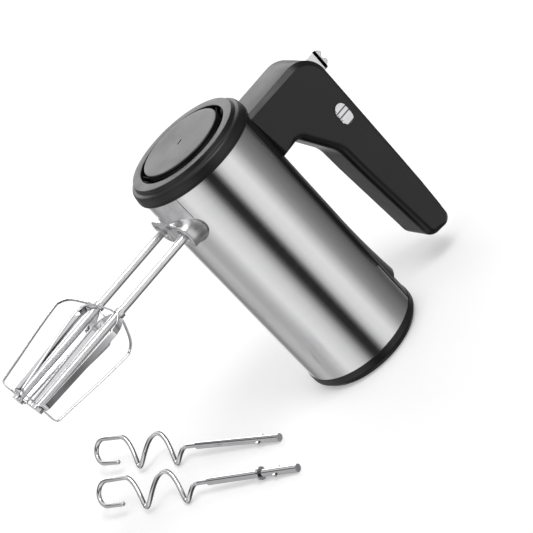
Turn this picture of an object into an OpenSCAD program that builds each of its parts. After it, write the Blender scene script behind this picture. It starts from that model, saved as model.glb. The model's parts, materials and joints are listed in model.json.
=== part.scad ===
// Hand mixer: a steel drum with an open-ended pistol handle, two beaters and two dough hooks.
// Frame: origin at the centre of the heel's bottom face, +Z up the drum to the vented front cap,
// -X towards the beaters, +X towards the handle. "left" pieces are on the +Y side. Millimetres.

/* [Drum] */
// Outer radius of the steel sleeve
sleeve_r = 46; // [38:0.5:56]
// Height of the whole drum, heel to vent disc
drum_h = 208; // [190:1:260]
// Wall of the steel sleeve
sleeve_wall = 0.8; // [0.6:0.1:1.2]
// Height of the rear cap's band
rear_cap_h = 10.8; // [8:0.2:14]
// Height of the front cap's ring
front_ring_h = 11.7; // [9:0.1:15]
// Rise of the vent disc above the ring
disc_rise = 2; // [1:0.1:4]
// Width of the open vent groove
vent_gap = 4.4; // [3:0.1:6]
// Radial space between motor and sleeve, for the cooling air
air_duct = 9; // [6:0.5:12]
// Half the angle that the moulded strip between the sleeve's two edges spans
strip_angle = 42.5; // [40:0.5:48]
// Height of the thumb ridge on the strip
ridge_h = 3.6; // [2:0.1:5]

/* [Handle] */
// Finger gap between sleeve and grip
finger_gap = 30.5; // [26:0.5:42]
// Thickness of the grip, underside to spine
grip_t = 30.5; // [25:0.5:38]
// Width of the handle
grip_w = 37; // [31:0.5:46]
// Thickness of the neck, along the drum
neck_t = 40; // [34:0.5:48]
// Drop of the neck's front face below the front cap
neck_drop = 5.2; // [3:0.1:8]
// Height of the grip's tip above the heel
tip_h = 18; // [12:0.5:40]
// Wall of the handle mouldings
shell_t = 2.4; // [1.8:0.1:3]
// Bevel along the handle's edges
bevel = 2.5; // [1:0.1:3]

/* [Beaters] */
// Distance between the two spindle axes
spindle_gap = 35.5; // [33:0.5:44]
// Distance of the spindle axes below the front cap
spindle_drop = 27; // [24:0.5:30]
// Radius of a beater's shaft
shaft_r = 2.95; // [2.4:0.05:3.6]
// Length of shaft that shows between socket and cage
shaft_show = 69; // [50:1:90]
// Length of the cage
cage_l = 80; // [60:1:100]
// Largest radius of the cage
cage_r = 23.4; // [18:0.1:24]
// Radius of the cage at its far end
cage_end_r = 16.3; // [12:0.1:17]
// Width and thickness of a cage strip
strip_w = 4.6; // [3:0.1:5.5]
blade_t = 0.9; // [0.7:0.1:1.3]
// Turn of each cage about its own axis
cage_turn_left = 53; // [0:1:89]
cage_turn_right = -8; // [-44:1:44]

/* [Dough hooks] */
// Overall length of a hook
hook_l = 205; // [170:1:220]
// Radius of the bent wire, and half the width of its waves
hook_wire_r = 1.9; // [1.5:0.1:2.5]
hook_wave = 12; // [9:0.5:14]
// Where the middle of each hook lies on the table, and the direction it points in
hook_left_x = -133; // [-150:1:-120]
hook_left_y = 98; // [90:1:120]
hook_left_dir = 112; // [100:1:120]
hook_right_x = -155; // [-165:1:-150]
hook_right_y = 48; // [40:1:55]
hook_right_dir = 116; // [100:1:120]

/* [Drive] */
// Teeth on a worm wheel
wheel_teeth = 30; // [26:1:34]
// Pitch radius of the worm
worm_pr = 4.26; // [4:0.01:4.6]
// Radius of the motor shaft
motor_shaft_r = 2.5; // [2:0.1:3]
// Wall of a spindle
spindle_wall = 1.85; // [1.5:0.05:2.2]
// Length of the armature and stator stacks
stack_l = 30; // [24:1:36]

/* [Controls] */
// Length and width of the speed slider's button
slider_l = 17.5; // [14:0.5:20]
slider_w = 10; // [7:0.1:11]
// Travel of the speed slider
slider_travel = 4.4; // [3:0.1:6]
// Size of the eject button along the drum, and across the handle
eject_w = 16; // [12:0.5:18]
eject_y = 12; // [9:0.5:16]
// Rise of the eject button above the spine
eject_rise = 10.5; // [9:0.5:13]
// Travel of the eject button
eject_travel = 7; // [5:0.5:7.5]
// Bore of the cord inlet
inlet_r = 3.5; // [3:0.1:4]

/* [Clearances] */
// Shaft in its bush
run_fit = 0.05; // [0.02:0.01:0.09]
// Piece seated in another
seat_fit = 0.1; // [0.05:0.05:0.2]
// Moving piece past a fixed one
move_gap = 0.3; // [0.25:0.05:0.5]

/* [Hidden] */
$fn = 64;
eps = 0.01;

// Levels along the drum
ring_top = drum_h - disc_rise;
seam_front = ring_top - front_ring_h;
seam_rear = rear_cap_h;
spindle_z = seam_front - spindle_drop;
neck_top = seam_front - neck_drop;
neck_low = neck_top - neck_t;
sleeve_in = sleeve_r - sleeve_wall;
strip_r = sleeve_r - 0.1;
strip_t = 1.6;
strip_step_z = seam_rear + 36;
strip_step = 3.5;
ridge_z = seam_rear + 16;
ring_r = sleeve_r + 2.7;
ring_face_r = sleeve_r - 3.5;
vent_r = sleeve_r - 9.8;
disc_r = vent_r - vent_gap;
spigot_r = sleeve_in - seat_fit;
heel_r = sleeve_r - 3.2;
spigot_t = 2;
spigot_l = 8;

// Handle outline
grip_x = sleeve_r + finger_gap;
spine_x = grip_x + grip_t;
tip_x = grip_x + 6.5;
cover_w = grip_w - 2 * bevel;
corner_r = 20.6;
// The slanted web between neck and grip: where it leaves the neck, its height below and inside the neck
gusset_x = sleeve_r + 13;
gusset_h = 29;
gusset_up = 12;
gusset_lean = (grip_x - 1 - gusset_x) / gusset_h;

// Spindles and gears
half_gap = spindle_gap / 2;
wheel_pr = half_gap - worm_pr;
gear_m = 2 * wheel_pr / wheel_teeth;
worm_pitch = PI * gear_m;
wheel_tip = wheel_pr + 0.94 * gear_m;
wheel_root = wheel_pr - 1.22 * gear_m;
worm_tip = worm_pr + 0.94 * gear_m;
worm_root = worm_pr - 1.22 * gear_m;
wheel_w = 6;
bore_r = shaft_r + run_fit;
spindle_r = bore_r + spindle_wall;
bush_r = spindle_r + 2;
collar_x = -(sleeve_r + 2);
collar_back = -sqrt(pow(sleeve_in, 2) - pow(half_gap + 10.2, 2));
boss_r = 10.2;
socket_r = spindle_r + 0.35;
spindle_x0 = collar_x + 1.5;
spindle_x1 = 14;
pin_x0 = 8;
pin_top = spindle_x1 + eject_travel + 1.5;

// Gearbox
box_half_y = half_gap + wheel_tip + 2.6;
box_half_z = wheel_tip + 3.4;
box_wall = 2.4;
box_in_x = wheel_w / 2 + 2.4;
box_x = box_in_x + box_wall;
box_low = spindle_z - box_half_z;
box_high = spindle_z + box_half_z;

// Motor, from the heel up
rear_bush_z = 24;
comm_z = 38;
comm_l = 13;
comm_r = 10.5;
brush_z = comm_z + comm_l / 2;
stack_z = 62;
stator_r = sleeve_in - air_duct;
air_gap = 0.6;
armature_r = 20;
coil_in = armature_r + 5;
coil_out = stator_r - 6.6;
coil_half = 72;
pole_half = 42;
fan_z = stack_z + stack_l + 14;
fan_r = stator_r - 8.5;
front_bracket_z = fan_z + 16;
plate_t = 4;
post_r = 3.2;
screw_r = 1.5;
screw_ring = stator_r - 5.2;

// Controls
eject_z = spindle_z + 4.7;
eject_rod_r = 3;
yoke_t = 3;
yoke_x = pin_top + 0.2;
button_low = spine_x - 11;
eject_top = spine_x + eject_rise;
slider_x = spine_x - 12;
slider_z = spindle_z - 30;
slot_wall = slider_travel + 2 * 1.3;
side_y = grip_w / 2;

// ---------- helpers ----------
function unit(v) = v / norm(v);

// One rounded corner at b, between a and c, as points on an arc of radius r
function corner(a, b, c, r, n = 8) =
    r <= 0 ? [b] :
    let (u = unit(a - b), v = unit(c - b), half = acos(u * v) / 2,
         centre = b + unit(u + v) * r / sin(half), s = b + u * r / tan(half) - centre,
         way = cross(u, v) > 0 ? -1 : 1)
    [for (i = [0 : n]) let (t = way * (180 - 2 * half) * i / n)
        centre + [s.x * cos(t) - s.y * sin(t), s.x * sin(t) + s.y * cos(t)]];

// Outline from corners given as [x, y, radius]
function rounded(p) = [for (i = [0 : len(p) - 1])
    let (a = p[(i + len(p) - 1) % len(p)], b = p[i], c = p[(i + 1) % len(p)])
    each corner([a.x, a.y], [b.x, b.y], [c.x, c.y], b.z)];

// Toothed outline: n teeth, angles of half a tooth at tip and root
function teeth(n, tip, root, half_tip, half_root) = [for (i = [0 : n - 1])
    let (a = 360 * i / n)
    each [root * [cos(a - half_root), sin(a - half_root)], tip * [cos(a - half_tip), sin(a - half_tip)],
          tip * [cos(a + half_tip), sin(a + half_tip)], root * [cos(a + half_root), sin(a + half_root)]]];

module along_y(w) rotate([90, 0, 0]) linear_extrude(w, center = true) children();
module along_x(x0, x1) translate([x0, 0, 0]) rotate([90, 0, 90]) linear_extrude(x1 - x0) children();
module rod_x(r, x0, x1) translate([x0, 0, 0]) rotate([0, 90, 0]) cylinder(r = r, h = x1 - x0);
module ring(r1, r0, z0, z1) translate([0, 0, z0]) difference() {
    cylinder(r = r1, h = z1 - z0);
    translate([0, 0, -1]) cylinder(r = r0, h = z1 - z0 + 2);
}
module tube_x(r1, r0, x0, x1) difference() {
    rod_x(r1, x0, x1);
    rod_x(r0, x0 - 1, x1 + 1);
}
// A sector of a tube around Z, half angle a about the +X direction turned by dir
module sector(r1, r0, z0, z1, a, dir = 0) intersection() {
    ring(r1, r0, z0, z1);
    rotate([0, 0, dir]) translate([0, 0, z0 - 1]) linear_extrude(z1 - z0 + 2)
        polygon([[0, 0], 2 * r1 * [cos(a), -sin(a)], 2 * r1 * [1, 0], 2 * r1 * [cos(a), sin(a)]]);
}
module at_spindle(side) translate([0, side * half_gap, spindle_z]) children();
// Round-wire helix along Z, made by twisting the wire's own section
module coil(r, wire, pitch, h) linear_extrude(h, twist = -360 * h / pitch, slices = ceil(h / pitch * 14),
        segments = 10)
    polygon(concat(
        [for (i = [0 : 5]) let (t = 180 * i / 5) (r + wire * sin(t)) *
            [cos(-360 * wire * cos(t) / pitch), sin(-360 * wire * cos(t) / pitch)]],
        [for (i = [1 : 4]) let (t = 180 * i / 5) (r - wire * sin(t)) *
            [cos(360 * wire * cos(t) / pitch), sin(360 * wire * cos(t) / pitch)]]));

// ---------- drum ----------
// A sheet bent round the drum; its two edges meet the moulded strip
module drum_sleeve() color("silver") difference() {
    ring(sleeve_r, sleeve_in, seam_rear, seam_front);
    // room for the strip
    sector(sleeve_r + 1, sleeve_in - 1, seam_rear - 1, strip_step_z, strip_angle - strip_step);
    sector(sleeve_r + 1, sleeve_in - 1, strip_step_z - eps, seam_front + 1, strip_angle);
    // room for the collar and its tongue
    along_x(collar_x - 1, 0) collar_outline(seat_fit);
    sector(sleeve_r + 1, sleeve_in - 1, spindle_z, seam_front + 1, tongue_angle + 0.3, 180);
}
tongue_angle = 37;

module front_cap_ring() color("#2b2c2e") difference() {
    union() {
        rotate_extrude() polygon(concat(
            rounded([[vent_r, ring_top, 0.8], [vent_r, seam_front, 0], [ring_r, seam_front, 0.5],
                [ring_r - 1.1, ring_top - 4.2, 4], [ring_face_r, ring_top, 1.5]])));
        ring(spigot_r, spigot_r - spigot_t, seam_front - spigot_l, seam_front + eps);
        ring(spigot_r, vent_r, seam_front - 1, seam_front + 1);
        // spokes across the vent groove, and the hub that carries the disc
        for (i = [0 : 15]) rotate([0, 0, i * 22.5 + 11.25])
            translate([disc_r - 6, -0.8, seam_front + 1]) cube([vent_gap + 7, 1.6, 5]);
        ring(disc_r - 4, disc_r - 7, seam_front + 1, seam_front + 6);
    }
}

module front_vent_disc() color("#3a3b3e") rotate_extrude() polygon(rounded([
    [0, drum_h, 0], [0, seam_front + 3, 0], [disc_r - 7.1, seam_front + 3, 0],
    [disc_r - 7.1, seam_front + 6.1, 0], [disc_r, seam_front + 6.1, 0.5], [disc_r, drum_h, 1.2]]));

module rear_cap() color("#1d1d1f") difference() {
    union() {
        rotate_extrude() polygon(rounded([[0, 0, 0], [heel_r, 0, 2.5], [sleeve_r + 0.5, 5, 4],
            [sleeve_r + 0.5, seam_rear, 0.4], [spigot_r, seam_rear, 0], [spigot_r, seam_rear + spigot_l, 0],
            [spigot_r - spigot_t, seam_rear + spigot_l, 0], [spigot_r - spigot_t, 2.6, 0], [0, 2.6, 0]]));
        for (a = [0 : 120 : 240]) rotate([0, 0, a]) translate([screw_ring, 0, 0])
            cylinder(r = 5.5, h = rear_bush_z - 2);
    }
    // air intake slots in the heel
    for (i = [0 : 17]) rotate([0, 0, i * 20 + 10]) translate([8, -1.1, -1]) cube([13, 2.2, 5]);
    for (a = [0 : 120 : 240]) rotate([0, 0, a]) translate([screw_ring, 0, -1]) {
        cylinder(r = screw_r + 0.2, h = 40);
        cylinder(r = 3.6, h = 9);
    }
}

module top_strip() color("#1b1b1d") difference() {
    union() {
        sector(strip_r, sleeve_in - eps, seam_rear + seat_fit, strip_step_z + 2 * seat_fit,
            strip_angle - strip_step - edge_gap);
        sector(strip_r, sleeve_in - eps, strip_step_z + seat_fit, seam_front - seat_fit,
            strip_angle - edge_gap);
        // backing between the two caps' spigots, with flanges that lap under the sleeve's edges
        sector(sleeve_in + 0.2, sleeve_in - strip_t, seam_rear + spigot_l + 0.5,
            seam_front - spigot_l - 0.5, strip_angle - strip_step - 2 * edge_gap);
        sector(sleeve_in - seat_fit / 2, sleeve_in - strip_t, seam_rear + spigot_l + 0.5,
            seam_front - spigot_l - 0.5, strip_angle + 4);
        // thumb ridge near the rear end
        intersection() {
            translate([sleeve_r - ridge_r + ridge_h, 0, ridge_z]) cylinder(r = ridge_r, h = 60);
            along_y(2 * sleeve_r) polygon([[sleeve_r - 8, ridge_z + 60], [strip_r - 0.5, ridge_z + 60],
                [strip_r + ridge_h, ridge_z], [sleeve_r - 8, ridge_z]]);
        }
    }
    // inner side of the ridge, the eject rod and the wires
    translate([0, 0, ridge_z - 1]) cylinder(r = sleeve_in - strip_t, h = 62);
    translate([0, 0, eject_z]) rod_x(eject_rod_r + move_gap, sleeve_r - 5, sleeve_r + 5);
    translate([sleeve_r - 5, -8, neck_low + 12]) cube([10, 16, 8]);
}
ridge_r = 32.5;
edge_gap = 0.15;

// Peanut outline around both sockets, in the plane across the spindles
module collar_outline(grow = 0) {
    fillet = 26;
    drop = sqrt(pow(boss_r + fillet, 2) - pow(half_gap, 2));
    for (s = [-1, 1]) translate([s * half_gap, spindle_z]) circle(r = boss_r + grow);
    difference() {
        translate([-half_gap, spindle_z - boss_r * 0.9]) square([spindle_gap, boss_r * 1.8]);
        for (t = [-1, 1]) translate([0, spindle_z + t * drop]) circle(r = fillet - grow);
    }
}

module socket_collar() color("gainsboro") difference() {
    union() {
        along_x(collar_x, collar_back) collar_outline();
        // tongue that runs up to the front cap
        sector(sleeve_r + 0.2, sleeve_in - 1, spindle_z, seam_front - 0.1, tongue_angle, 180);
    }
    // the spigot of the front cap passes inside the tongue
    translate([0, 0, seam_front - spigot_l - 0.5]) cylinder(r = sleeve_in + eps, h = spigot_l + 1);
    for (s = [-1, 1]) at_spindle(s) {
        rod_x(socket_r, collar_x - 1, 0);
        rod_x(bush_r + seat_fit, collar_x + 6, 0);
    }
}

// ---------- handle ----------
// Three convex pieces that meet inside: neck, gusset and grip
module handle_blank(w, c) {
    corner_pts = corner([0, neck_top], [spine_x, neck_top], [spine_x, 0], corner_r);
    beveled(w, c) polygon(concat([[sleeve_r - 16, neck_low], [spine_x, neck_low]],
        [for (i = [0 : 8]) corner_pts[8 - i]], [[sleeve_r - 16, neck_top]]));
    beveled(w, c) polygon([[gusset_x - gusset_up * gusset_lean, neck_low + gusset_up],
        [grip_x - 1, neck_low - gusset_h], [grip_x + 14, neck_low - gusset_h],
        [grip_x + 14, neck_low + gusset_up]]);
    beveled(w, c) polygon(concat([[grip_x - 1, neck_low + 8], [grip_x - 1, neck_low - gusset_h]],
        corner([grip_x, neck_low - gusset_h - 8], [tip_x, tip_h + 1], [spine_x, tip_h - 1], 10),
        corner([tip_x, tip_h + 1], [spine_x - 1.5, tip_h - 1], [spine_x, neck_low], 7),
        [[spine_x, neck_low + 8]]));
}
module beveled(w, c) hull() {
    along_y(w - 2 * c) children();
    along_y(w) offset(delta = -c) children();
}

// Band along the spine, between the outer surface and depth t inside it
function spine_path(t) = concat([[sleeve_r - 16, neck_top - t]],
    corner([0, neck_top - t], [spine_x - t, neck_top - t], [spine_x - t, 0], corner_r - t, 12),
    [[spine_x - t - 1.5 * (neck_low - tip_h - 22) / (neck_low - tip_h + 1), tip_h + 22]]);
function reversed(p) = [for (i = [len(p) - 1 : -1 : 0]) p[i]];
module spine_band(t, w) along_y(w) polygon(concat(spine_path(-3), reversed(spine_path(t))));

module drum_clear(r) translate([0, 0, -1]) cylinder(r = r, h = drum_h + 2);

module handle_body() color("#232325") difference() {
    handle_blank(grip_w, bevel);
    drum_clear(strip_r + 0.02);
    spine_band(shell_t, cover_w);
    // hollow inside
    along_y(grip_w - 2 * shell_t) polygon(rounded([[strip_r - 8, neck_low + shell_t, 0],
        [spine_x - shell_t - 0.1, neck_low + shell_t, 0],
        [spine_x - shell_t - 0.1, neck_top - shell_t - 0.1, corner_r - shell_t],
        [strip_r - 8, neck_top - shell_t - 0.1, 0]]));
    along_y(grip_w - 4 * shell_t) polygon([[grip_x + shell_t + 1, neck_low + 20], [grip_x + shell_t + 1, neck_low - 24],
        [tip_x + shell_t + 1, tip_h + 14], [spine_x - shell_t - 3, tip_h + 14],
        [spine_x - shell_t - 0.1, neck_low + 20]]);
    // opening under the spine cover
    spine_band(shell_t + 3, cover_w - 6);
    slider_recess();
    translate([inlet_x, 0, tip_h - 3]) cylinder(r = inlet_r + 2.5, h = 20);
}
inlet_x = (tip_x + spine_x) / 2;

// Stadium-shaped block on the -Y side, from depth y0 to y1, with true round ends
module side_block(l, w, y0, y1, z) translate([slider_x, y1, z]) rotate([90, 0, 0]) {
    for (t = [-1, 1]) translate([0, t * (l - w) / 2, 0]) cylinder(d = w, h = y1 - y0);
    translate([-w / 2, -(l - w) / 2, 0]) cube([w, l - w, y1 - y0]);
}
module slider_recess() {
    slot_z = slider_z - slider_travel / 2;
    side_block(slider_l + slot_wall, slider_w + 2.6, -side_y - 1, -side_y + 1.3, slot_z);
    side_block(9 + slot_wall, 5, -side_y - 1, -side_y + 8, slot_z);
}

module handle_cover() color("#2a2a2c") difference() {
    intersection() {
        spine_band(shell_t - 0.05, cover_w - 2 * seat_fit);
        along_y(grip_w) polygon(concat([[sleeve_r - 15, neck_low - 200], [sleeve_r - 15, neck_top]],
            corner([0, neck_top], [spine_x, neck_top], [spine_x, 0], corner_r, 12),
            [[spine_x - 1.5, tip_h - 1]]));
    }
    drum_clear(strip_r + 0.02);
    translate([button_low - 20, -eject_y / 2 - move_gap, eject_z - eject_w / 2 - move_gap])
        cube([60, eject_y + 2 * move_gap, eject_w + 2 * move_gap]);
}

module cord_grommet() color("#151516") translate([inlet_x, 0, tip_h]) difference() {
    cylinder(r = inlet_r + 2.4, h = 14);
    translate([0, 0, -1]) cylinder(r = inlet_r, h = 16);
}

// ---------- gearbox ----------
module gearbox_box(x0, x1) {
    along_x(x0, x1) polygon(rounded([[-box_half_y, box_low, 5], [box_half_y, box_low, 5],
        [box_half_y, box_high, 5], [-box_half_y, box_high, 5]]));
}
module gearbox_hollow() {
    for (s = [-1, 1]) at_spindle(s) rod_x(wheel_tip + 1, -box_in_x, box_in_x);
    translate([-box_in_x, -worm_tip - 1, spindle_z - 12]) cube([2 * box_in_x, 2 * worm_tip + 2, 24]);
    cylinder(r = motor_shaft_r + 0.5, h = box_high - 1);
    translate([0, 0, box_high - 5]) cylinder(r = 5 + seat_fit, h = 10);
    for (s = [-1, 1], t = [-1, 1]) translate([0, s * (box_half_y - 4), spindle_z + t * (box_half_z - 4)])
        rod_x(screw_r + run_fit, -box_x + 2, 20);
}
module gearbox_housing() color("#c9c4b4") difference() {
    union() {
        gearbox_box(-box_x, 0);
        for (s = [-1, 1]) at_spindle(s) rod_x(bush_r + 2, collar_back + 0.1, -box_x + 1);
    }
    gearbox_hollow();
    for (s = [-1, 1]) at_spindle(s) {
        rod_x(spindle_r + 0.6, collar_back - 1, 0);
        rod_x(bush_r + seat_fit, -box_x - 6, -box_in_x + eps);
    }
}
module gearbox_cover() color("#bdb8a8") difference() {
    union() {
        gearbox_box(0, box_x);
        for (s = [-1, 1]) at_spindle(s) rod_x(bush_r + 2, box_x - 1, box_x + 4);
    }
    gearbox_hollow();
    for (s = [-1, 1]) at_spindle(s) rod_x(bush_r + seat_fit, box_in_x - eps, box_x + 5);
}
module spindle_bushes() color("#b08d57") for (s = [-1, 1]) at_spindle(s) {
    tube_x(bush_r, spindle_r + run_fit, collar_x + 6.1, collar_back - 0.1);
    tube_x(bush_r, spindle_r + run_fit, -box_x - 5.9, -box_in_x);
    tube_x(bush_r, spindle_r + run_fit, box_in_x, box_x + 4);
}

// ---------- motor ----------
// Three-armed plate with a bush hub, and its posts up to the stator
module spider(z) {
    translate([0, 0, z]) cylinder(r = 12, h = plate_t);
    ring(stator_r, stator_r - 6, z, z + plate_t);
    for (a = [0 : 120 : 240]) rotate([0, 0, a + 60])
        translate([9, -5, z + 0.4]) cube([sleeve_in - 9.4, 10, plate_t - 0.8]);
    translate([0, 0, z + 1]) cylinder(r = 7.5, h = plate_t + 5);
}
module posts(z0, z1, r) for (a = [0 : 120 : 240]) rotate([0, 0, a + 60])
    translate([stator_r - 3, 0, z0]) cylinder(r = r, h = z1 - z0);
module motor_front_bracket() color("#8d9096") difference() {
    union() {
        spider(front_bracket_z);
        // bar and pillars that carry the gearbox
        for (s = [-1, 1]) translate([0, s * (box_half_y - 10), front_bracket_z + 1])
            cylinder(r = 4.5, h = box_low - front_bracket_z - 1);
        translate([-4.6, -stator_r + 3, front_bracket_z + 0.4]) cube([9.2, 2 * stator_r - 6, plate_t - 0.8]);
        posts(stack_z + stack_l, front_bracket_z + 1, post_r);
    }
    translate([0, 0, front_bracket_z - 1]) cylinder(r = 5 + seat_fit, h = 20);
    posts(stack_z, stack_z + 80, screw_r + run_fit);
    for (i = [-1, 1]) translate([0, i * (box_half_y - 10), front_bracket_z - 1])
        cylinder(r = screw_r + 0.2, h = box_low - front_bracket_z + 2);
}
module motor_rear_bracket() color("#8d9096") difference() {
    union() {
        spider(rear_bush_z - 2);
        for (a = [0 : 120 : 240]) rotate([0, 0, a]) translate([screw_ring, 0, rear_bush_z - 1])
            cylinder(r = 4, h = 9);
        posts(rear_bush_z - 1, stack_z, post_r);
    }
    translate([0, 0, rear_bush_z - 3]) cylinder(r = 5 + seat_fit, h = 20);
    for (a = [0 : 120 : 240]) rotate([0, 0, a]) translate([screw_ring, 0, rear_bush_z - 3])
        cylinder(r = screw_r + run_fit, h = 20);
    posts(rear_bush_z - 3, stack_z + 20, screw_r + 0.2);
}
module shaft_bushes() color("#b08d57") {
    ring(5, motor_shaft_r + run_fit, rear_bush_z - 2, rear_bush_z + 8);
    ring(5, motor_shaft_r + run_fit, front_bracket_z, front_bracket_z + 10);
    ring(5, motor_shaft_r + run_fit, box_high - 4.9, box_high);
}
module stator_core() color("#5b5d60") translate([0, 0, stack_z]) difference() {
    cylinder(r = stator_r, h = stack_l);
    translate([0, 0, -1]) cylinder(r = armature_r + air_gap, h = stack_l + 2);
    // coil windows on both sides of the two poles
    for (dir = [0, 180]) difference() {
        sector(coil_out + 0.2, coil_in - 0.2, -1, stack_l + 1, coil_half + 1, dir);
        sector(coil_out + 1, coil_in - 1, -2, stack_l + 2, pole_half - 1, dir);
    }
    for (a = [0 : 120 : 240]) rotate([0, 0, a + 60]) translate([stator_r - 3, 0, -1])
        cylinder(r = screw_r + 0.2, h = stack_l + 2);
}
module field_coils() color("#b5651d") for (dir = [0, 180]) difference() {
    sector(coil_out, coil_in, stack_z - 6, stack_z + stack_l + 6, coil_half, dir);
    sector(coil_out + 1, coil_in - 1, stack_z - 0.3, stack_z + stack_l + 0.3, pole_half, dir);
}
module brush_box(s, x0, x1, w, h) translate([0, 0, brush_z - h / 2]) translate([-w / 2, s > 0 ? x0 : -x1, 0])
    cube([w, x1 - x0, h]);
module brush_holders() color("#c9a646") for (s = [-1, 1]) difference() {
    brush_box(s, comm_r + 2, stator_r - 4, 9, 11);
    brush_box(s, comm_r + 1, stator_r - 5.5, 6.2, 8.2);
}
module carbon_brushes() color("#2f2f2f") for (s = [-1, 1]) difference() {
    brush_box(s, comm_r - 1.5, comm_r + 12, 6, 8);
    translate([0, 0, comm_z - 1]) cylinder(r = comm_r + 0.15, h = comm_l + 2);
}
module brush_springs() color("silver") for (s = [-1, 1])
    translate([0, s * (comm_r + 12.1), brush_z]) rotate([-s * 90, 0, 0])
        coil(2.2, 0.35, 2.2, stator_r - 5.7 - comm_r - 12.1);

module motor_shaft() color("#9a9ca0") {
    translate([0, 0, rear_bush_z - 1]) cylinder(r = motor_shaft_r, h = box_high - rear_bush_z - 1);
    // worm, cut on the shaft
    worm_l = 6 * worm_pitch;
    translate([0, 0, spindle_z - worm_l / 2]) linear_extrude(worm_l, twist = -360 * 6, slices = 120,
            segments = 24)
        polygon([for (i = [-12 : 11]) let (a = 15 * i, b = abs(a))
            (b < 50 ? worm_tip : b > 80 ? worm_root : worm_tip - (worm_tip - worm_root) * (b - 50) / 30)
            * [cos(a), sin(a)]]);
}
module armature_core() color("#6d6f72") translate([0, 0, stack_z]) difference() {
    linear_extrude(stack_l) polygon(teeth(12, armature_r, armature_r - 6, 11, 5));
    translate([0, 0, -1]) cylinder(r = motor_shaft_r, h = stack_l + 2);
}
module armature_windings() color("#c0702a") {
    for (z = [stack_z - 8, stack_z + stack_l]) translate([0, 0, z]) rotate_extrude()
        polygon(rounded([[motor_shaft_r, 0, 0], [armature_r - 5, 0, 2.5], [armature_r - 4, 8, 2.5],
            [motor_shaft_r, 8, 0]]));
    for (i = [0 : 11]) rotate([0, 0, 30 * i + 15]) translate([armature_r - 5.4, -1.6, stack_z])
        cube([3.6, 3.2, stack_l]);
}
module commutator() color("#b87333") difference() {
    ring(comm_r, motor_shaft_r, comm_z, comm_z + comm_l);
    for (i = [0 : 11]) rotate([0, 0, 30 * i]) translate([comm_r - 1, -0.3, comm_z - 1])
        cube([3, 0.6, comm_l + 2]);
}
module cooling_fan() color("#dcdcd8") difference() {
    union() {
        translate([0, 0, fan_z]) cylinder(r = fan_r, h = 1.4);
        translate([0, 0, fan_z]) cylinder(r = 7, h = 9);
        for (i = [0 : 8]) rotate([0, 0, 40 * i]) translate([6, -0.7, fan_z]) cube([fan_r - 7, 1.4, 9]);
    }
    translate([0, 0, fan_z - 1]) cylinder(r = motor_shaft_r, h = 12);
    for (i = [0 : 8]) rotate([0, 0, 40 * i + 20]) translate([16, 0, fan_z - 1]) cylinder(r = 3.5, h = 4);
}

// ---------- screws ----------
module screw(l, head_r, head_h) {
    cylinder(r = screw_r, h = l);
    translate([0, 0, -head_h]) difference() {
        cylinder(r = head_r, h = head_h);
        for (a = [0, 90]) rotate([0, 0, a]) translate([-head_r * 0.6, -0.4, -1])
            cube([head_r * 1.2, 0.8, 1 + head_h * 0.5]);
    }
}
module rear_cap_screws() color("silver") for (a = [0 : 120 : 240]) rotate([0, 0, a])
    translate([screw_ring, 0, 8]) screw(20, 3.2, 2);
module gearbox_screws() color("silver") for (s = [-1, 1], t = [-1, 1])
    translate([box_x, s * (box_half_y - 4), spindle_z + t * (box_half_z - 4)])
        rotate([0, -90, 0]) screw(2 * box_x - 3, 2.8, 1.8);
module bracket_screws() color("silver") for (a = [0 : 120 : 240]) rotate([0, 0, a + 60])
    translate([stator_r - 3, 0, rear_bush_z - 2]) screw(stack_z + stack_l + 18 - rear_bush_z, 2.8, 1.8);

// ---------- spindles ----------
module spindle() difference() {
    rod_x(spindle_r, spindle_x0, spindle_x1);
    rod_x(bore_r, spindle_x0 - 1, spindle_x1 + 1);
    // slots for a beater's drive ears
    translate([spindle_x0 - 1, -spindle_r - 1, -1.4]) cube([5.5, 2 * spindle_r + 2, 2.8]);
}
module worm_wheel() difference() {
    along_x(-wheel_w / 2, wheel_w / 2)
        rotate(3 * 30 / wheel_teeth) polygon(teeth(wheel_teeth, wheel_tip, wheel_root, 1.5, 2.7));
    rod_x(spindle_r, -wheel_w, wheel_w);
}
module spindle_left() color("#9a9ca0") at_spindle(1) spindle();
module spindle_right() color("#9a9ca0") at_spindle(-1) spindle();
module worm_wheel_left() color("ivory") at_spindle(1) worm_wheel();
module worm_wheel_right() color("ivory") at_spindle(-1) worm_wheel();
module ejector_pin() {
    rod_x(bore_r - 0.08, pin_x0, pin_top);
    rod_x(spindle_r - 0.4, pin_top - 1.2, pin_top);
}
module ejector_pin_left() color("#7d8085") at_spindle(1) ejector_pin();
module ejector_pin_right() color("#7d8085") at_spindle(-1) ejector_pin();

// ---------- beaters ----------
cage_x = collar_x - shaft_show;
cage_end = cage_x - cage_l;
module ears(x, turn) translate([x, 0, 0]) rotate([turn, 0, 0])
    translate([-1.1, -spindle_r + 0.4, -1.1]) cube([2.2, 2 * spindle_r - 0.8, 2.2]);
module beater_shaft() {
    rod_x(shaft_r, cage_end - 1.2, pin_x0 - move_gap);
    ears(spindle_x0 + 2.6, 0);
}
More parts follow.
